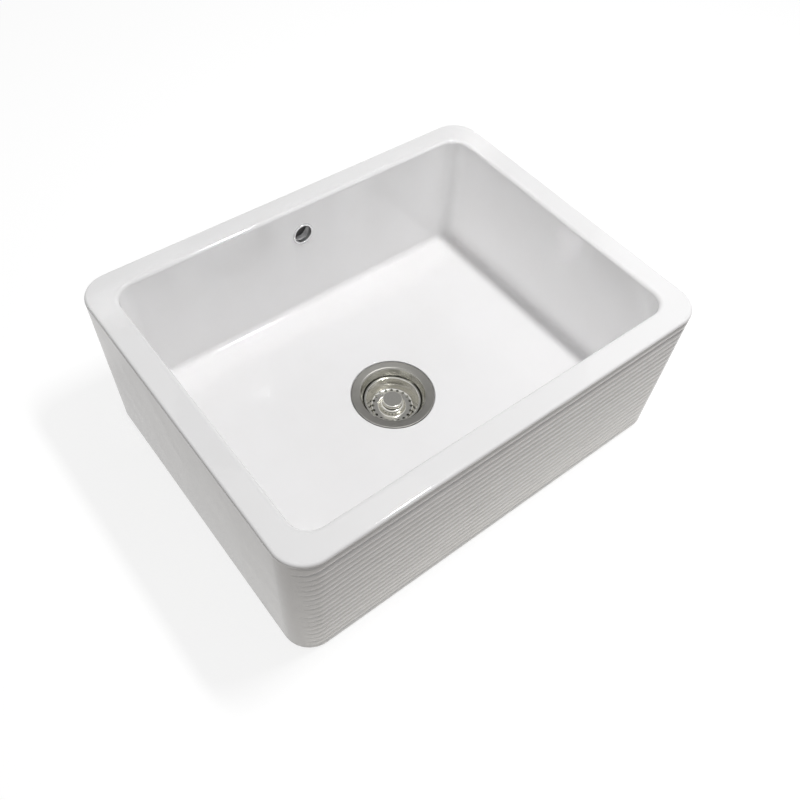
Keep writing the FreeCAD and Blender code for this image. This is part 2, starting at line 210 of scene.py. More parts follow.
class SinkWaste(bpy.types.PropertyGroup):
    """Sizes of the moulded waste body."""

    flange_thickness: length("Flange thickness", "Clamping flange", 0.004)
    bore: length("Bore", "Inner radius under the clay", 0.0455)
    wall: length("Wall", "Wall of the moulding", 0.003)
    skirt: length("Skirt", "Straight wall above the funnel", 0.015)
    funnel: length("Funnel", "Height of the funnel", 0.02)
    outlet_radius: length("Outlet radius", "Over the thread crests", 0.0239)
    outlet_wall: length("Outlet wall", "Wall of the outlet at the crests", 0.0039)
    thread_pitch: length("Thread pitch", "Eleven turns to the inch", 0.00231)
    thread_depth: length("Thread depth", "From crest to root", 0.0011)
    thread_plain: length("Plain neck", "Unthreaded neck above the thread", 0.004)
    hub_radius: length("Hub radius", "Boss that holds the brass insert", 0.0085)
    hub_top: length("Hub top", "Height of the boss above the foot plane", -0.0075)
    hub_height: length("Hub height", "Length of the boss", 0.018)
    insert_length: length("Insert pocket", "Depth of the brass insert", 0.014)
    insert_radius: length("Insert radius", "Radius of the brass insert's pocket", 0.00563)
    web_thickness: length("Web thickness", "Webs that carry the boss", 0.003)
    web_height: length("Web height", "Webs that carry the boss", 0.014)


class SinkFinish(bpy.types.PropertyGroup):
    """Colours of the finishes, and where on a piece they change."""

    glaze: tint("Glaze", "Gloss white glaze where it lies thick", (0.876, 0.872, 0.876))
    glaze_thin: tint("Thin glaze", "The same glaze where it lies thinner", (0.858, 0.852, 0.852))
    bare_clay: tint("Bare clay", "Unglazed underside", (0.76, 0.71, 0.62))
    bare_clay_dark: tint("Bare clay, dark", "Kiln marks on the underside", (0.62, 0.56, 0.47))
    # Flange steel: partly the duller finish, partly a painted dark reflection, its colour set far below the
    # polished steel's
    flange: tint("Flange steel", "Dull flange of the strainer cup", (0.273, 0.267, 0.251))
    cup: tint("Cup steel", "Polished inside of the strainer cup", (0.6, 0.595, 0.55))
    basket: tint("Basket steel", "Polished basket and knob", (0.68, 0.67, 0.63))
    fastener: tint("Fastener steel", "Screws, nuts and plates", (0.58, 0.575, 0.56))
    chrome: tint("Chrome", "Plated overflow ring", (0.74, 0.745, 0.75))
    rubber: tint("Rubber", "Moulded seals", (0.025, 0.025, 0.026))
    plastic: tint("Plastic", "Moulded waste body", (0.8, 0.8, 0.77))
    brass: tint("Brass", "Turned insert", (0.72, 0.52, 0.22))
    flange_width: length("Flange width", "Dull steel, from the edge of the cup inwards", 0.0115)
    flange_fade: length("Flange fade", "Strip in which the dull steel turns polished", 0.001)
    apron_width: length("Apron width", "Comb lines in the glaze, from the front backwards", 0.015)
    apron_fade: length("Apron fade", "Strip in which the comb lines end", 0.01)


class SinkStage(bpy.types.PropertyGroup):
    """Studio and camera."""

    # Floor colours for bounced light only: a painted pool of light, pale and warm round floor_middle, dim
    # (floor_away) far from it
    floor: tint("Floor", "Pale floor beside the sink", (0.885, 0.85, 0.775))
    floor_away: tint("Floor away", "The same floor away from the sink", (0.235, 0.2, 0.165))
    floor_middle: point("Floor middle", "Point round which the floor is pale", (0.03, -0.2, 0))
    floor_near: length("Floor near", "Distance from the middle where the floor starts to dim", 0.16)
    floor_far: length("Floor far", "Distance from the middle where the floor is dim", 0.5)
    floor_shade: tint("Floor shade", "Share of the floor that still takes the shadow", (0.32, 0.32, 0.32))
    floor_glow: share("Floor glow", "Light that the floor shows to the camera", 0.78)
    horizon: share("Horizon", "Strength of the sky light at the horizon", 0.06)
    zenith: share("Zenith", "Strength of the sky light overhead", 0.56)
    key_power: share("Key power", "Strip softbox overhead, in watts", 17.5)
    band_power: share("Band power", "Gridded strip over the back wall, in watts", 0.012)
    wall_power: share("Wall power", "Gridded panel aimed at the right wall, in watts", 0.029)
    card: share("Card", "Brightness of the grey card that the metal mirrors", 0.36)
    azimuth: angle("Azimuth", "Camera round the sink", -42.19)
    elevation: angle("Elevation", "Camera above the horizon", 53.07)
    roll: angle("Roll", "Camera about its own axis", 5.22)
    distance: length("Distance", "From the camera to its target", 1.03297)
    target: point("Target", "Point in the middle of the picture", (-0.0325, -0.06156, 0.11))
    lens: FloatProperty(name="Lens", description="Focal length in millimetres", default=37.416)


class Nodes:
    """The node tree of a material or a world, emptied to be built anew."""

    def __init__(self, owner):
        owner.use_nodes = True
        self.tree = owner.node_tree
        self.tree.nodes.clear()

    def plug(self, socket, value):
        """Gives an input a wire from another socket, a colour or a plain value."""
        if isinstance(value, bpy.types.NodeSocket):
            self.tree.links.new(value, socket)
        elif socket.type == "RGBA":
            socket.default_value = (*value, 1)
        else:
            socket.default_value = value

    def node(self, kind, inputs=(), **settings):
        """A node with its settings, and with inputs that plug takes."""
        made = self.tree.nodes.new(kind)
        for name, value in settings.items():
            setattr(made, name, value)
        for name, value in dict(inputs).items():
            self.plug(made.inputs[name], value)
        return made


class Finish(Nodes):
    """A material under construction: a principled shader, its output and the place on the sink."""

    def __init__(self, name):
        self.material = bpy.data.materials.new(name)
        super().__init__(self.material)
        self.shader = self.node("ShaderNodeBsdfPrincipled")
        self.node("ShaderNodeOutputMaterial", {"Surface": self.shader.outputs["BSDF"]})
        self.place = self.node("ShaderNodeTexCoord").outputs["Object"]

    def set(self, **values):
        """Values and wires of the shader, named as its sockets with underscores for spaces."""
        for name, value in values.items():
            self.plug(self.shader.inputs[name.replace("_", " ")], value)

    def grain(self, waves, detail=3.0, rough=0.55, stretch=None):
        """Noise over the place on the sink, with a number of waves to the metre."""
        place = self.place
        if stretch:
            place = self.node("ShaderNodeMapping", {"Vector": place, "Scale": stretch}).outputs["Vector"]
        settings = {"Vector": place, "Scale": waves, "Detail": detail, "Roughness": rough}
        return self.node("ShaderNodeTexNoise", settings).outputs["Fac"]

    def rings(self, distance, waves):
        """Turning marks: noise that changes only with a distance."""
        settings = {"W": distance, "Scale": waves, "Detail": 4.0, "Roughness": 0.7}
        return self.node("ShaderNodeTexNoise", settings, noise_dimensions="1D").outputs["Fac"]

    def span(self, value, source, result):
        """A value mapped from one range to another."""
        ranges = dict(zip(("From Min", "From Max", "To Min", "To Max"), (*source, *result)))
        return self.node("ShaderNodeMapRange", {"Value": value, **ranges}).outputs["Result"]

    def blend(self, fac, first, second):
        """A colour between two others."""
        made = self.node("ShaderNodeMix", data_type="RGBA")
        sockets = {socket.identifier: socket for socket in made.inputs}
        self.plug(sockets["Factor_Float"], fac)
        self.plug(sockets["A_Color"], first)
        self.plug(sockets["B_Color"], second)
        return next(socket for socket in made.outputs if socket.identifier == "Result_Color")

    def mottle(self, mask, colour, share):
        """Base colour that a mask turns towards a darker or lighter tone of itself."""
        self.set(Base_Color=self.blend(mask, colour, [share * part for part in colour]))

    def sums(self, operation, first, second):
        """Arithmetic on two values."""
        return self.node("ShaderNodeMath", {0: first, 1: second}, operation=operation).outputs["Value"]

    def bump(self, *layers):
        """Relief on the shader, from layers of height and depth in metres."""
        normal = None
        for height, depth in layers:
            inputs = {"Height": height, "Distance": depth, "Strength": 1.0}
            if normal is not None:
                inputs["Normal"] = normal
            normal = self.node("ShaderNodeBump", inputs).outputs["Normal"]
        self.set(Normal=normal)

    def from_axis(self):
        """Distance from the upright axis of the waste."""
        vector_math = "ShaderNodeVectorMath"
        offset = self.node(vector_math, {0: self.place, 1: -waste_axis}, operation="ADD")
        flat = self.node(vector_math, {0: offset.outputs["Vector"], 1: (1, 1, 0)}, operation="MULTIPLY")
        return self.node(vector_math, {0: flat.outputs["Vector"]}, operation="LENGTH").outputs["Value"]


def glaze_finish(colours):
    """Gloss white glaze: faint clouding, soft waves from firing and fine comb lines on the apron."""
    finish = Finish("white_glaze")
    cloud = finish.span(finish.grain(11.0, detail=4.0), NOISE_RANGE, WHOLE)
    finish.set(Base_Color=finish.blend(cloud, colours.glaze_thin, colours.glaze))
    finish.set(IOR=1.52, Roughness=finish.span(finish.grain(45.0), NOISE_RANGE, (0.05, 0.1)))
    peel = finish.grain(240.0, detail=2.0)
    wave = finish.grain(26.0, detail=2.0)
    depth = finish.node("ShaderNodeSeparateXYZ", {"Vector": finish.place}).outputs["Y"]
    apron_end = clay_low.y + colours.apron_width
    apron = finish.span(depth, (apron_end + colours.apron_fade, apron_end), WHOLE)
    normal = finish.node("ShaderNodeNewGeometry").outputs["Normal"]
    facing = finish.node("ShaderNodeSeparateXYZ", {"Vector": normal}).outputs["Y"]
    front = finish.span(facing, (-0.5, -0.8), WHOLE)
    lines = finish.grain(230.0, detail=2.0, stretch=(0.06, 0.06, 1))
    combed = finish.sums("MULTIPLY", finish.sums("MULTIPLY", apron, front), lines)
    finish.bump((wave, 0.0004), (peel, 0.000015), (combed, 0.0002))
    return finish.material


def bare_clay_finish(colours):
    """Unglazed underside: sandy fired clay with darker kiln marks."""
    finish = Finish("bare_clay")
    marks = finish.span(finish.grain(16.0, detail=5.0), (0.42, 0.68), WHOLE)
    finish.set(Base_Color=finish.blend(marks, colours.bare_clay, colours.bare_clay_dark))
    finish.set(Roughness=finish.span(finish.grain(300.0), NOISE_RANGE, (0.78, 0.95)))
    sand = finish.grain(1400.0, detail=4.0)
    finish.bump((finish.grain(60.0), 0.0004), (sand, 0.00025))
    return finish.material


def cup_finish(colours):
    """Pressed stainless cup: a dull flange with turning marks and a polished inside. The flange's colour is
    set far below the polished steel's, partly for the duller steel and partly as a painted dark reflection.
    """
    finish = Finish("cup_steel")
    distance = finish.from_axis()
    marks = finish.rings(distance, 2600.0)
    flange_start = cup_high.x - colours.flange_width
    flange = finish.span(distance, (flange_start - colours.flange_fade, flange_start), WHOLE)
    stain = finish.span(finish.grain(70.0, detail=5.0), (0.35, 0.75), (0.0, 0.25))
    # Painted dark reflection, partly real dull steel: the flange turns to its colour, set far below the
    # polished steel's
    steel = finish.blend(flange, colours.cup, colours.flange)
    dark = [0.6 * part for part in colours.flange]
    finish.set(Base_Color=finish.blend(stain, steel, dark))
    worn = finish.span(marks, NOISE_RANGE, (-0.05, 0.07))
    dull = finish.span(flange, WHOLE, (0.16, 0.4))
    finish.set(Metallic=1.0, Roughness=finish.sums("ADD", dull, worn))
    dish = finish.span(distance, (flange_start, cup_high.x), WHOLE)
    finish.bump((marks, 0.00003), (dish, 0.0012))
    return finish.material


def basket_finish(colours):
    """Polished stainless basket and knob, with fine turning marks and handling marks."""
    finish = Finish("basket_steel")
    marks = finish.rings(finish.from_axis(), 3200.0)
    smear = finish.grain(120.0, detail=4.0)
    tarnish = finish.span(smear, (0.4, 0.8), (0.0, 0.35))
    finish.mottle(tarnish, colours.basket, 0.72)
    dull = finish.span(smear, NOISE_RANGE, (0.08, 0.2))
    worn = finish.span(marks, NOISE_RANGE, (-0.02, 0.03))
    finish.set(Metallic=1.0, Roughness=finish.sums("ADD", dull, worn))
    finish.bump((marks, 0.00002))
    return finish.material


def fastener_finish(colours):
    """Plain stainless steel with turning marks."""
    finish = Finish("fastener_steel")
    marks = finish.rings(finish.from_axis(), 4200.0)
    dark = finish.span(marks, NOISE_RANGE, (0.0, 0.5))
    finish.mottle(dark, colours.fastener, 0.8)
    finish.set(Metallic=1.0, Roughness=finish.span(finish.grain(400.0), NOISE_RANGE, (0.2, 0.36)))
    finish.bump((marks, 0.00003))
    return finish.material


def chrome_finish(colours):
    """Bright plate, with faint water marks."""
    finish = Finish("chrome_plate")
    spots = finish.span(finish.grain(500.0), (0.5, 0.8), (0.0, 0.5))
    finish.mottle(spots, colours.chrome, 0.85)
    finish.set(Metallic=1.0, Roughness=finish.span(spots, (0.0, 0.5), (0.04, 0.14)))
    finish.bump((finish.grain(160.0), 0.00002))
    return finish.material


def rubber_finish(colours):
    """Black moulded rubber with a dusty bloom."""
    finish = Finish("seal_rubber")
    bloom = finish.span(finish.grain(90.0, detail=5.0), (0.45, 0.8), (0.0, 0.5))
    finish.mottle(bloom, colours.rubber, 3.0)
    finish.set(Roughness=finish.span(bloom, (0.0, 0.5), (0.5, 0.75)))
    finish.bump((finish.grain(1800.0), 0.00004))
    return finish.material


def plastic_finish(colours):
    """Off-white moulded polypropylene with flow marks and a fine moulded grain."""
    finish = Finish("moulded_plastic")
    flow = finish.span(finish.grain(18.0, stretch=(1, 1, 0.3)), (0.35, 0.7), (0.0, 0.6))
    finish.mottle(flow, colours.plastic, 0.93)
    finish.set(Subsurface_Weight=0.08, Roughness=finish.span(finish.grain(700.0), NOISE_RANGE, (0.34, 0.48)))
    finish.bump((finish.grain(1500.0), 0.00002))
    return finish.material


def brass_finish(colours):
    """Turned brass."""
    finish = Finish("turned_brass")
    marks = finish.rings(finish.from_axis(), 5000.0)
    dull = finish.span(finish.grain(260.0), (0.4, 0.75), (0.0, 0.5))
    finish.mottle(dull, colours.brass, 0.65)
    finish.set(Metallic=1.0, Roughness=finish.span(dull, (0.0, 0.5), (0.22, 0.4)))
    finish.bump((marks, 0.00004))
    return finish.material


def dress(material, *nodes):
    """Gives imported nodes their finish."""
    for node in nodes:
        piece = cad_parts[node]
        if not piece.material_slots:
            piece.data.materials.append(material)
        for slot in piece.material_slots:
            slot.material = material


def link(name, data):
    """A new object of the scene, from a mesh, a light or a camera."""
    made = bpy.data.objects.new(name, data)
    bpy.context.scene.collection.objects.link(made)
    return made


def new_piece(name, points, faces, material_index=None):
    """A mesh object from points, faces and the number of each face's finish."""
    mesh = bpy.data.meshes.new(name)
    mesh.from_pydata(points, [], faces)
    if material_index:
        mesh.polygons.foreach_set("material_index", material_index)
    mesh.validate()
    mesh.update()
    return link(name, mesh)


def combine(piece, other, operation):
    """Cuts another solid from a piece, or joins it on, and takes the other away."""
    change = piece.modifiers.new("combine", "BOOLEAN")
    change.operation = operation
    change.solver = "EXACT"
    change.object = other
    seen = bpy.context.evaluated_depsgraph_get()
    made = bpy.data.meshes.new_from_object(piece.evaluated_get(seen))
    shape = bmesh.new()
    shape.from_mesh(made)
    bmesh.ops.remove_doubles(shape, verts=shape.verts, dist=WELD)
    shape.to_mesh(made)
    shape.free()
    piece.modifiers.clear()
    piece.data = made
    bpy.data.objects.remove(other)


def shade(piece, degrees):
    """Smooth shading that stays crisp at edges sharper than an angle."""
    piece.data.shade_smooth()
    piece.data.set_sharp_from_angle(angle=math.radians(degrees))


def rounded_section(corners, steps=6, hold=0.001):
    """Points along an open section of (distance, height, rounding) corners, with roundings as arcs.

    A point is held just outside each arc, so that the flats beside it stay flat when shaded."""
    places = [Vector((distance, height)) for distance, height, rounding in corners]
    points = [places[0]]
    for before, here, after, corner in zip(places, places[1:], places[2:], corners[1:]):
        rounding = corner[2]
        to_before = (before - here).normalized()
        to_after = (after - here).normalized()
        half = to_before.angle(to_after) / 2
        reach = rounding / math.tan(half)
        centre = here + (to_before + to_after).normalized() * (rounding / math.sin(half))
        start = here + to_before * reach
        end = here + to_after * reach
        points.append(start + to_before * hold)
        for step in range(steps + 1):
            points.append(centre + (start - centre).slerp(end - centre, step / steps) * rounding)
        points.append(end + to_after * hold)
    return points + [places[-1]]


def walk_round():
    """Once round a rounded rectangle: the corner axis of each point, in half sides, and its normal."""
    walk = []
    for quarter in range(4):
        turn = quarter * math.pi / 2
        out = Vector((math.cos(turn), math.sin(turn)))
        along = Vector((-math.sin(turn), math.cos(turn)))
        steps = LONG_STEPS if quarter % 2 else SHORT_STEPS
        for step in range(steps):
            walk.append((out + along * (2 * step / steps - 1), out))
        for step in range(CORNER_STEPS):
            angle = turn + math.pi / 2 * step / CORNER_STEPS
            walk.append((out + along, Vector((math.cos(angle), math.sin(angle)))))
    return walk


ring_walk = walk_round()


def corner_axes(inset):
    """Corner axes of a rounded rectangle, so far inside the clay's outer sides."""
    return clay_high.x - inset, clay_high.y - inset


def rect(axes, distance, level):
    """A rounded rectangle at a distance round its corner axes."""
    return [Vector((at.x * axes[0] + out.x * distance, at.y * axes[1] + out.y * distance, level))
            for at, out in ring_walk]


def rects(axes, section):
    """One rounded rectangle for each point of a section."""
    return [rect(axes, *point) for point in section]


def ring_faces(rings, count):
    """Faces between a number of rings with a count of points each, closed both ways."""
    faces = []
    for index in range(rings):
        first = index * count
        second = (index + 1) % rings * count
        for step in range(count):
            ahead = (step + 1) % count
            faces.append((first + step, first + ahead, second + ahead, second + step))
    return faces


def between(first, second, part, level):
    """A ring between two others, with the height that level gives for each place."""
    places = [here.lerp(there, part) for here, there in zip(first, second)]
    return [Vector((place.x, place.y, level(place))) for place in places]


def uneven(place, amount, waves=CAST_WAVES):
    """Smooth unevenness at a place, with a number of waves to the metre and finer waves on them."""
    return amount * (noise.noise(place * waves) + FINE_SHARE * noise.noise(place * waves * FINE_WAVES))


def rib_rows(ribs, low, high):
    """Heights up the apron, each with the depth of the combing there and the full depth of its groove."""
    top = high - ribs.land - ribs.depth
    bottom = low + ribs.land + ribs.depth
    count = int((top - ribs.bead - bottom) / ribs.pitch)
    valleys = [top] + [top - ribs.bead - ribs.pitch * row for row in range(count + 1)]
    valleys.reverse()
    depths = [ribs.depth + (ribs.bead_groove if valley in valleys[-2:] else 0) for valley in valleys]
    rows = [(valleys[0] - ribs.depth - ribs.set_in, -ribs.set_in, ribs.depth)]
    for under, over, deep_under, deep_over in zip(valleys, valleys[1:], depths, depths[1:]):
        rows.append((under, deep_under, deep_under))
        half = (over - under) / 2
        for part in RIB_PARTS:
            deep = deep_over if part > 0 else deep_under
            radius = (half ** 2 + deep ** 2) / (2 * deep)
            sunk = radius - math.sqrt(radius ** 2 - (part * half) ** 2)
            rows.append((under + half + part * half, sunk, deep))
    rows.append((valleys[-1], depths[-1], depths[-1]))
    rows.append((valleys[-1] + ribs.depth + ribs.land / 2, -ribs.set_in, depths[-1]))
    return rows


class ClaySkin:
    """The clay body as one closed skin of rings, from the waste hole round the outside and back."""

    def __init__(self, clay, ribs):
        self.clay = clay
        self.ribs = ribs
        self.outer = corner_axes(clay.corner_radius)
        self.bowl = corner_axes(clay.rim_width + clay.bowl_corner)
        self.cove_end = clay.bowl_corner - clay.bowl_lean - clay.bowl_cove
        self.aims = [(point - waste_axis).normalized() for point in rect(self.bowl, self.cove_end, 0)]

    def circle(self, radius, level):
        """A circle round the waste, with each point on the way to its point on the bowl's edge."""
        return [waste_axis + aim * radius + up * level for aim in self.aims]

    def underside(self):
        """From the waste hole out to the foot."""
        clay = self.clay
        ceiling = clay.recess_depth
        hole = self.circle(clay.waste_hole + clay.rebate_lip, ceiling)
        border = self.circle(clay.waste_hole + 3 * clay.rebate_lip, ceiling)
        section = rounded_section([
            (RECESS_BORDER, ceiling, 0),
            (clay.recess_corner - clay.recess_lean, ceiling, clay.recess_round),
            (clay.recess_corner, 0, clay.recess_lip),
            (clay.recess_corner + 3 * clay.recess_lip, 0, 0),
        ])
        recess = rects(corner_axes(clay.wall_draft + clay.foot_width + clay.recess_corner), section)
        flat = [between(border, recess[0], part, lambda place: ceiling) for part in CEILING_PARTS]
        return [hole, border, *flat, *recess]

    def outside(self):
        """Foot, combed apron and outer walls, up to the rim."""
        clay = self.clay
        height = clay_high.z
        foot_edge = clay.corner_radius - clay.wall_draft
        section = rounded_section([
            (foot_edge - 2 * clay.foot_round, 0, 0),
            (foot_edge, 0, clay.foot_round),
            (clay.corner_radius, height, clay.rim_outer_round),
            (clay.corner_radius - 2 * clay.rim_outer_round, height, 0),
        ])
        middle = len(section) // 2
        rows = rib_rows(self.ribs, clay.foot_round, height - clay.rim_outer_round)
        foot = rects(self.outer, section[:middle - 1])
        rim = rects(self.outer, section[middle + 1:])
        return [*foot, *(self.combed_ring(*row) for row in rows), *rim]

    def combed_ring(self, level, depth, full_depth):
        """A ring of the outer wall, with combing on the apron that runs out round the front corners."""
        clay = self.clay
        ribs = self.ribs
        wall = clay.corner_radius - clay.wall_draft * (1 - level / clay_high.z)
        run_out = ribs.run_out + full_depth - ribs.depth
        ring = []
        for at, out in ring_walk:
            front = max(0.0, -out.y)
            plain = Vector((at.x * self.outer[0], at.y * self.outer[1], level))
            stray = uneven(plain, ribs.wander, COMB_WAVES) * front
            seed = Vector((plain.x * DEPTH_WAVES_ALONG, level * DEPTH_WAVES_UP, DEPTH_SLICE))
            vary = 1 + ribs.unevenness * noise.noise(seed)
            cut = ribs.set_in + (depth * vary if depth > 0 else depth)
            groove = max(0.0, cut - run_out * abs(out.x)) if front else 0.0
            reach = wall - groove - abs(uneven(plain, clay.waviness))
            ring.append(Vector((plain.x + out.x * reach, plain.y + out.y * reach, level + stray)))
        return ring

    def bowl_wall(self):
        """Inner edge of the rim, with an uneven strip under its rounding, then bowl wall and cove."""
        clay = self.clay
        height = clay_high.z
        section = rounded_section([
            (clay.bowl_corner + 2 * clay.rim_inner_round, height, 0),
            (clay.bowl_corner, height, clay.rim_inner_round),
            (clay.bowl_corner - clay.bowl_lean, clay.bowl_floor, clay.bowl_cove),
            (self.cove_end, clay.bowl_floor, 0),
        ], steps=BOWL_STEPS)
        strip_end = BOWL_STEPS + 3
        rings = rects(self.bowl, section[:strip_end])
        for step in range(1, STRIP_STEPS):
            part = step / STRIP_STEPS
            ring = rect(self.bowl, *section[strip_end - 1].lerp(section[strip_end], part))
            for point, (at, out) in zip(ring, ring_walk):
                swell = abs(uneven(point, clay.waviness)) * math.sin(math.pi * part)
                point.x += out.x * swell
                point.y += out.y * swell
            rings.append(ring)
        return rings + rects(self.bowl, section[strip_end:-1])

    def floor(self):
        """Bowl floor: a border that still dips, then the fall to the waste."""
        clay = self.clay
        border = []
        for step in range(1, BORDER_STEPS + 1):
            part = step / BORDER_STEPS
            drop = clay.border_dip * (1 - (1 - part) ** 2)
            axes = [half - clay.border_width * part for half in self.bowl]
            border.append(rect(axes, self.cove_end, clay.bowl_floor - drop))
        shore = self.circle(clay.rebate_radius + clay.rebate_lip, 0)
        fall = [between(border[-1], shore, step / FALL_STEPS, self.floor_level)
                for step in range(1, FALL_STEPS)]
        return border + fall

    def floor_level(self, place):
        """Height of the bowl floor at a place inside the border."""
        clay = self.clay
        shore = clay.rebate_radius
        reach = clay_high.y - clay.rim_width - clay.bowl_lean - clay.bowl_cove - clay.border_width
        away = ((place - waste_axis).xy.length - shore) / (reach - shore)
        part = 1 - min(1.0, max(0.0, away))
        wave = uneven(Vector((place.x, place.y, 0)), clay.waviness * FLOOR_WAVE) * math.sin(math.pi * part)
        drop = clay.fall * (part ** 2 + part * (1 - part) * FALL_STRAIGHT)
        return clay.bowl_floor - clay.border_dip - drop + wave

    def well(self):
        """Rebate and waste hole. The first ring of the underside stands in for the section's end."""
        clay = self.clay
        lip = clay.rebate_lip
        floor = clay.bowl_floor - clay.border_dip - clay.fall
        seat = floor - clay.rebate_depth
        section = rounded_section([
            (clay.rebate_radius + 2 * lip, floor, 0),
            (clay.rebate_radius, floor, REBATE_EDGE * lip),
            (clay.rebate_radius, seat, lip),
            (clay.waste_hole, seat, lip),
            (clay.waste_hole, clay.recess_depth, lip),
            (clay.waste_hole + lip, clay.recess_depth, 0),
        ], steps=4, hold=0.0002)
        return [self.circle(*point) for point in section[:-3]]

    def make(self):
        """The skin as a piece whose faces are bare clay up to the rounding of the foot, then glazed."""
        underside = self.underside()
        rings = [*underside, *self.outside(), *self.bowl_wall(), *self.floor(), *self.well()]
        bare_until = len(underside) + FOOT_RINGS
        points = [point for ring in rings for point in ring]
        count = len(ring_walk)
        finishes = [int(index < bare_until) for index in range(len(rings)) for step in range(count)]
        return new_piece("clay_body", points, ring_faces(len(rings), count), finishes)


def box_solid(name, low, high):
    """A plain block, used only to cut or to join."""
    across, deep, tall = zip(low, high)
    points = [Vector((x, y, z)) for x in across for y in deep for z in tall]
    faces = [(0, 1, 3, 2), (4, 6, 7, 5), (0, 4, 5, 1), (2, 3, 7, 6), (0, 2, 6, 4), (1, 5, 7, 3)]
    return new_piece(name, points, faces)


def rod(name, radius, base, along, steps=72):
    """A round bar from a point along a vector, used only to cut or to join."""
    shape = bmesh.new()
    bmesh.ops.create_cone(
        shape, cap_ends=True, segments=steps, radius1=radius, radius2=radius, depth=along.length
    )
    turn = up.rotation_difference(along).to_matrix().to_4x4()
    shape.transform(Matrix.Translation(base + along / 2) @ turn)
    mesh = bpy.data.meshes.new(name)
    shape.to_mesh(mesh)
    shape.free()
    return link(name, mesh)


def cut_overflow(body, clay):
    """Overflow hole, the duct behind it and the channel to the waste."""
    lean = math.atan2(clay.bowl_lean, clay_high.z - clay.bowl_floor)
    inwards = Vector((0, math.cos(lean), -math.sin(lean)))
    hole_length = clay.duct_skin + clay.duct_depth / 2
    hole_start = ring_middle - inwards * hole_length
    combine(body, rod("hole", clay.overflow_radius, hole_start, inwards * 2 * hole_length), "DIFFERENCE")
    wall = clay_high.y - clay.rim_width - math.tan(lean) * (clay_high.z - ring_middle.z)
    front = wall + clay.duct_skin
    back = front + clay.duct_depth
    top = ring_middle.z + clay.overflow_radius + clay.duct_head
    half = clay.duct_width / 2
    combine(body, box_solid("duct", (-half, front, clay.channel_low), (half, back, top)), "DIFFERENCE")
    third = clay.duct_width / 3
    channel_front = (-third, waste_axis.y + clay.waste_hole - CHANNEL_LAP, clay.channel_low)
    channel_back = (third, front + clay.duct_depth / 2, clay.channel_high)
    combine(body, box_solid("channel", channel_front, channel_back), "DIFFERENCE")


def lathe(name, profile, steps=96, thread=None):
    """A closed section of radius and height turned about the waste axis. thread moves radii by angle."""
    points = []
    for radius, level in profile:
        for step in range(steps):
            angle = 2 * math.pi * step / steps
            out = radius - (thread(radius, level, angle) if thread else 0)
            points.append(waste_axis + Vector((math.cos(angle) * out, math.sin(angle) * out, level)))
    faces = [(a, d, c, b) for a, b, c, d in ring_faces(len(profile), steps)]
    return new_piece(name, points, faces)


def make_waste_body(sizes):
    """Moulded waste body with a thread cut round its outlet."""
    top = body_high.z
    bottom = body_low.z
    flange_under = top - sizes.flange_thickness
    funnel_top = top - sizes.skirt
    outlet_top = funnel_top - sizes.funnel
    inner = sizes.outlet_radius - sizes.outlet_wall
    thread_top = outlet_top - sizes.thread_plain
    outside = rounded_section([
        (body_high.x, top - FLANGE_DISH, 0),
        (body_high.x, flange_under, FLANGE_EDGE),
        (sizes.bore + sizes.wall, flange_under, sizes.wall),
        (sizes.bore + sizes.wall, funnel_top, 2 * sizes.wall),
        (sizes.outlet_radius, outlet_top, sizes.wall),
        (sizes.outlet_radius, thread_top, 0),
    ], steps=5, hold=0.0003)
    rows = int((thread_top - bottom) / sizes.thread_pitch * ROWS_TO_A_TURN)
    turns = [Vector((sizes.outlet_radius, thread_top + (bottom - thread_top) * row / rows))
             for row in range(1, rows + 1)]
    inside = rounded_section([
        (inner, bottom, 0),
        (inner, outlet_top + sizes.wall, sizes.wall),
        (sizes.bore, funnel_top + sizes.wall, sizes.wall),
        (sizes.bore, top, 0),
    ], steps=5, hold=0.0003)

    def thread(radius, level, angle):
        if radius != turns[0].x or level > thread_top:
            return 0
        phase = (level / sizes.thread_pitch + angle / (2 * math.pi)) % 1
        flank = min(1, max(0, THREAD_SLOPE * abs(2 * phase - 1) - THREAD_CREST))
        start = (thread_top - level) / sizes.thread_pitch
        end = (level - bottom) / sizes.thread_pitch + THREAD_END
        return sizes.thread_depth * flank * min(1, start, end)

    shell = lathe("waste_moulding", outside + turns + inside, thread=thread)
    hub_base = waste_axis + up * (sizes.hub_top - sizes.hub_height)
    web_low = sizes.hub_top - (sizes.hub_height + sizes.web_height) / 2
    web_high = web_low + sizes.web_height
    half = sizes.web_thickness / 2
    slope = (sizes.bore - inner) / sizes.funnel
    reach = inner + slope * (web_low - outlet_top) + 1.5 * sizes.wall
    for across, deep in ((reach, half), (half, reach)):
        low = (waste_axis.x - across, waste_axis.y - deep, web_low)
        high = (waste_axis.x + across, waste_axis.y + deep, web_high)
        combine(shell, box_solid("web", low, high), "UNION")
    combine(shell, rod("hub", sizes.hub_radius, hub_base, up * sizes.hub_height), "UNION")
    pocket = hub_base + up * (sizes.hub_height - sizes.insert_length)
    combine(shell, rod("pocket", sizes.insert_radius, pocket, up * 2 * sizes.insert_length), "DIFFERENCE")
    return shell


class SINK_OT_clay_body(bpy.types.Operator):
    """Combs the apron, glazes the clay body and leaves its underside bare"""

    bl_idname = "sink.clay_body"
    bl_label = "Clay body"

    def execute(self, context):
        settings = context.scene
        body = ClaySkin(settings.sink_clay, settings.sink_ribs).make()
        cut_overflow(body, settings.sink_clay)
        shade(body, degrees=62)
        body.data.materials.append(glaze_finish(settings.sink_finish))
        body.data.materials.append(bare_clay_finish(settings.sink_finish))
        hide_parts("sink_body")
        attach(body, "sink")
        return {"FINISHED"}


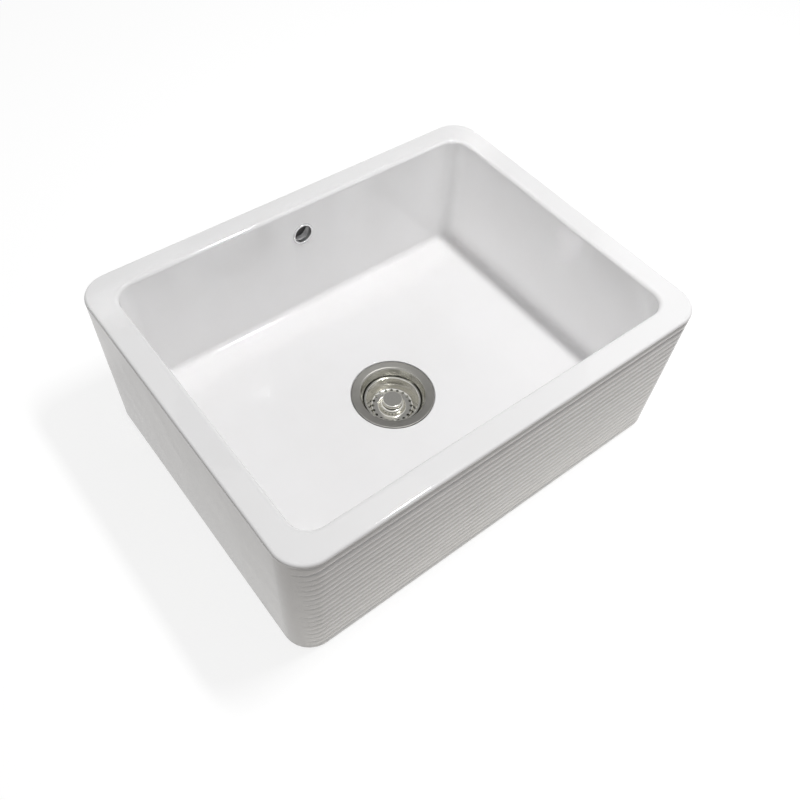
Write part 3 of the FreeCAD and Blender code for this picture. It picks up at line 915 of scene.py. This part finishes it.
class SINK_OT_overflow(bpy.types.Operator):
    """Plates the overflow ring"""

    bl_idname = "sink.overflow"
    bl_label = "Overflow ring"

    def execute(self, context):
        dress(chrome_finish(context.scene.sink_finish), "overflow_ring")
        return {"FINISHED"}


class SINK_OT_strainer(bpy.types.Operator):
    """Finishes the strainer cup, the basket and its knob"""

    bl_idname = "sink.strainer"
    bl_label = "Strainer"

    def execute(self, context):
        colours = context.scene.sink_finish
        dress(cup_finish(colours), "strainer_cup")
        dress(basket_finish(colours), "strainer_basket", "lift_knob")
        return {"FINISHED"}


class SINK_OT_fasteners(bpy.types.Operator):
    """Finishes the screw, sleeve, plate, nut and brass insert"""

    bl_idname = "sink.fasteners"
    bl_label = "Fasteners"

    def execute(self, context):
        colours = context.scene.sink_finish
        dress(fastener_finish(colours), "clamp_screw", "stem_spacer", "seal_backing", "stem_nut")
        dress(brass_finish(colours), "thread_insert")
        return {"FINISHED"}


class SINK_OT_seals(bpy.types.Operator):
    """Finishes the rubber seals"""

    bl_idname = "sink.seals"
    bl_label = "Seals"

    def execute(self, context):
        rubber = rubber_finish(context.scene.sink_finish)
        dress(rubber, "flange_seal", "under_seal", "screw_seal", "seal_disc")
        return {"FINISHED"}


class SINK_OT_waste_body(bpy.types.Operator):
    """Moulds the waste body with its threaded outlet"""

    bl_idname = "sink.waste_body"
    bl_label = "Waste body"

    def execute(self, context):
        settings = context.scene
        body = make_waste_body(settings.sink_waste)
        shade(body, degrees=40)
        body.data.materials.append(plastic_finish(settings.sink_finish))
        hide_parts("waste_body")
        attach(body, "sink")
        return {"FINISHED"}


def seen_rays(nodes):
    """One for rays that the camera, gloss or glass send out, nought for the rest."""
    rays = nodes.node("ShaderNodeLightPath").outputs
    total = rays["Is Camera Ray"]
    for name in ("Is Glossy Ray", "Is Transmission Ray"):
        either = nodes.node("ShaderNodeMath", {0: total, 1: rays[name]}, operation="MAXIMUM")
        total = either.outputs["Value"]
    return total


def make_sky(settings):
    """White background for the camera, gloss and glass, and for the rest a light that grows overhead."""
    world = bpy.data.worlds.new("studio")
    nodes = Nodes(world)
    place = nodes.node("ShaderNodeTexCoord").outputs["Generated"]
    rise = nodes.node("ShaderNodeSeparateXYZ", {"Vector": place}).outputs["Z"]
    slope = nodes.node("ShaderNodeMath", {0: rise}, operation="ABSOLUTE").outputs["Value"]
    levels = {"Value": slope, "To Min": settings.horizon, "To Max": settings.zenith}
    strength = nodes.node("ShaderNodeMapRange", levels).outputs["Result"]
    unseen = nodes.node("ShaderNodeBackground", {"Color": WHITE, "Strength": strength})
    seen = nodes.node("ShaderNodeBackground", {"Color": WHITE})
    shaders = {1: unseen.outputs["Background"], 2: seen.outputs["Background"]}
    choice = nodes.node("ShaderNodeMixShader", {"Fac": seen_rays(nodes), **shaders})
    nodes.node("ShaderNodeOutputWorld", {"Surface": choice.outputs["Shader"]})
    bpy.context.scene.world = world


def floor_finish(settings):
    """Pale floor that shows the camera near white and keeps the shadow; to bounced light it is a painted
    pool of light round the sink.
    """
    material = bpy.data.materials.new("pale_floor")
    nodes = Nodes(material)
    # Painted pool of light: bounced light sees the floor pale and warm near floor_middle, dimming to
    # floor_away between floor_near and floor_far
    place = nodes.node("ShaderNodeNewGeometry").outputs["Position"]
    squeezed = nodes.node("ShaderNodeVectorMath", {0: place, 1: FLOOR_SQUEEZE}, operation="MULTIPLY")
    ends = {0: squeezed.outputs["Vector"], 1: settings.floor_middle}
    away = nodes.node("ShaderNodeVectorMath", ends, operation="DISTANCE").outputs["Value"]
    reach = {"Value": away, "From Min": settings.floor_near, "From Max": settings.floor_far}
    dim = nodes.node("ShaderNodeMapRange", reach)
    tone = nodes.node("ShaderNodeValToRGB", {"Fac": dim.outputs["Result"]})
    tone.color_ramp.elements[0].color = (*settings.floor, 1)
    tone.color_ramp.elements[1].color = (*settings.floor_away, 1)
    plain = nodes.node("ShaderNodeBsdfDiffuse", {"Color": tone.outputs["Color"]})
    shaded = nodes.node("ShaderNodeBsdfDiffuse", {"Color": settings.floor_shade})
    glow = nodes.node("ShaderNodeEmission", {"Strength": settings.floor_glow})
    both = nodes.node("ShaderNodeAddShader", {0: shaded.outputs["BSDF"], 1: glow.outputs["Emission"]})
    shaders = {1: plain.outputs["BSDF"], 2: both.outputs["Shader"]}
    choice = nodes.node("ShaderNodeMixShader", {"Fac": seen_rays(nodes), **shaders})
    nodes.node("ShaderNodeOutputMaterial", {"Surface": choice.outputs["Shader"]})
    return material


def make_floor(settings, clay):
    """A pale top just under the foot, open inside its outer edge for the waste to hang through."""
    axes = corner_axes(clay.corner_radius)
    opening = clay.corner_radius - clay.wall_draft - 2 * clay.foot_round
    points = rect(axes, opening, -FLOOR_DROP) + rect(axes, FLOOR_REACH, -FLOOR_DROP)
    count = len(ring_walk)
    faces = [(step, step + count, (step + 1) % count + count, (step + 1) % count) for step in range(count)]
    floor = new_piece("studio_floor", points, faces)
    floor.data.materials.append(floor_finish(settings))


def hang(piece, place, target):
    """Hangs a lamp or card at a place, facing a target and unseen by the camera."""
    piece.location = place
    piece.rotation_euler = (Vector(place) - Vector(target)).to_track_quat("Z", "Y").to_euler()
    piece.visible_camera = False


def make_softbox(name, power, place, target, size, spread=180):
    """A soft rectangular light aimed at a point, with a grid that narrows it to a spread in degrees."""
    light = bpy.data.lights.new(name, "AREA")
    light.shape = "RECTANGLE"
    light.size, light.size_y = size
    light.energy = power
    light.spread = math.radians(spread)
    hang(link(name, light), place, target)


def make_card(name, brightness, place, target, size):
    """A grey card that only mirrors see."""
    across, high = size[0] / 2, size[1] / 2
    points = [Vector((x * across, y * high, 0)) for x, y in ((-1, -1), (1, -1), (1, 1), (-1, 1))]
    card = new_piece(name, points, [(0, 1, 2, 3)])
    material = bpy.data.materials.new(name)
    nodes = Nodes(material)
    glow = nodes.node("ShaderNodeEmission", {"Strength": brightness})
    nodes.node("ShaderNodeOutputMaterial", {"Surface": glow.outputs["Emission"]})
    card.data.materials.append(material)
    hang(card, place, target)
    card.visible_diffuse = False
    card.visible_shadow = False


def make_camera(settings):
    """Camera at the viewing angle of the picture."""
    flat = math.cos(settings.elevation)
    back = Vector((
        math.sin(settings.azimuth) * flat,
        -math.cos(settings.azimuth) * flat,
        math.sin(settings.elevation),
    ))
    right = up.cross(back).normalized()
    over = back.cross(right)
    turned_right = right * math.cos(settings.roll) + over * math.sin(settings.roll)
    turned_over = over * math.cos(settings.roll) - right * math.sin(settings.roll)
    lens = bpy.data.cameras.new("camera")
    lens.lens = settings.lens
    lens.sensor_width = SENSOR_WIDTH
    camera = link("camera", lens)
    place = Matrix((turned_right, turned_over, back)).transposed().to_4x4()
    place.translation = Vector(settings.target) + back * settings.distance
    camera.matrix_world = place
    bpy.context.scene.camera = camera


class SINK_OT_stage(bpy.types.Operator):
    """Sets up the pale floor, the soft light and the camera"""

    bl_idname = "sink.stage"
    bl_label = "Stage"

    def execute(self, context):
        settings = context.scene.sink_stage
        context.scene.view_settings.view_transform = "Standard"
        make_sky(settings)
        make_floor(settings, context.scene.sink_clay)
        for name, softbox in SOFTBOXES.items():
            make_softbox(name, getattr(settings, f"{name}_power"), **softbox)
        make_card("grey_card", settings.card, **GREY_CARD)
        make_camera(settings)
        return {"FINISHED"}


operators = (
    SINK_OT_clay_body,
    SINK_OT_overflow,
    SINK_OT_strainer,
    SINK_OT_fasteners,
    SINK_OT_seals,
    SINK_OT_waste_body,
    SINK_OT_stage,
)

groups = {
    "sink_clay": SinkClay,
    "sink_ribs": SinkRibs,
    "sink_waste": SinkWaste,
    "sink_finish": SinkFinish,
    "sink_stage": SinkStage,
}


class SINK_PT_panel(bpy.types.Panel):
    """Lists the sink's pieces and their sizes"""

    bl_label = "Fireclay Sink"
    bl_space_type = "VIEW_3D"
    bl_region_type = "UI"
    bl_category = "Sink"

    def draw(self, context):
        column = self.layout.column()
        for operator in operators:
            column.operator(operator.bl_idname)
        for name, group in groups.items():
            box = column.box()
            for value in group.__annotations__:
                box.prop(getattr(context.scene, name), value)


def register():
    for name, group in groups.items():
        bpy.utils.register_class(group)
        setattr(bpy.types.Scene, name, PointerProperty(type=group))
    for operator in operators:
        bpy.utils.register_class(operator)
    bpy.utils.register_class(SINK_PT_panel)


def unregister():
    bpy.utils.unregister_class(SINK_PT_panel)
    for operator in reversed(operators):
        bpy.utils.unregister_class(operator)
    for name, group in reversed(groups.items()):
        delattr(bpy.types.Scene, name)
        bpy.utils.unregister_class(group)


def main():
    register()
    bpy.ops.sink.clay_body()
    bpy.ops.sink.overflow()
    bpy.ops.sink.strainer()
    bpy.ops.sink.fasteners()
    bpy.ops.sink.seals()
    bpy.ops.sink.waste_body()
    bpy.ops.sink.stage()


if __name__ == "__main__":
    main()
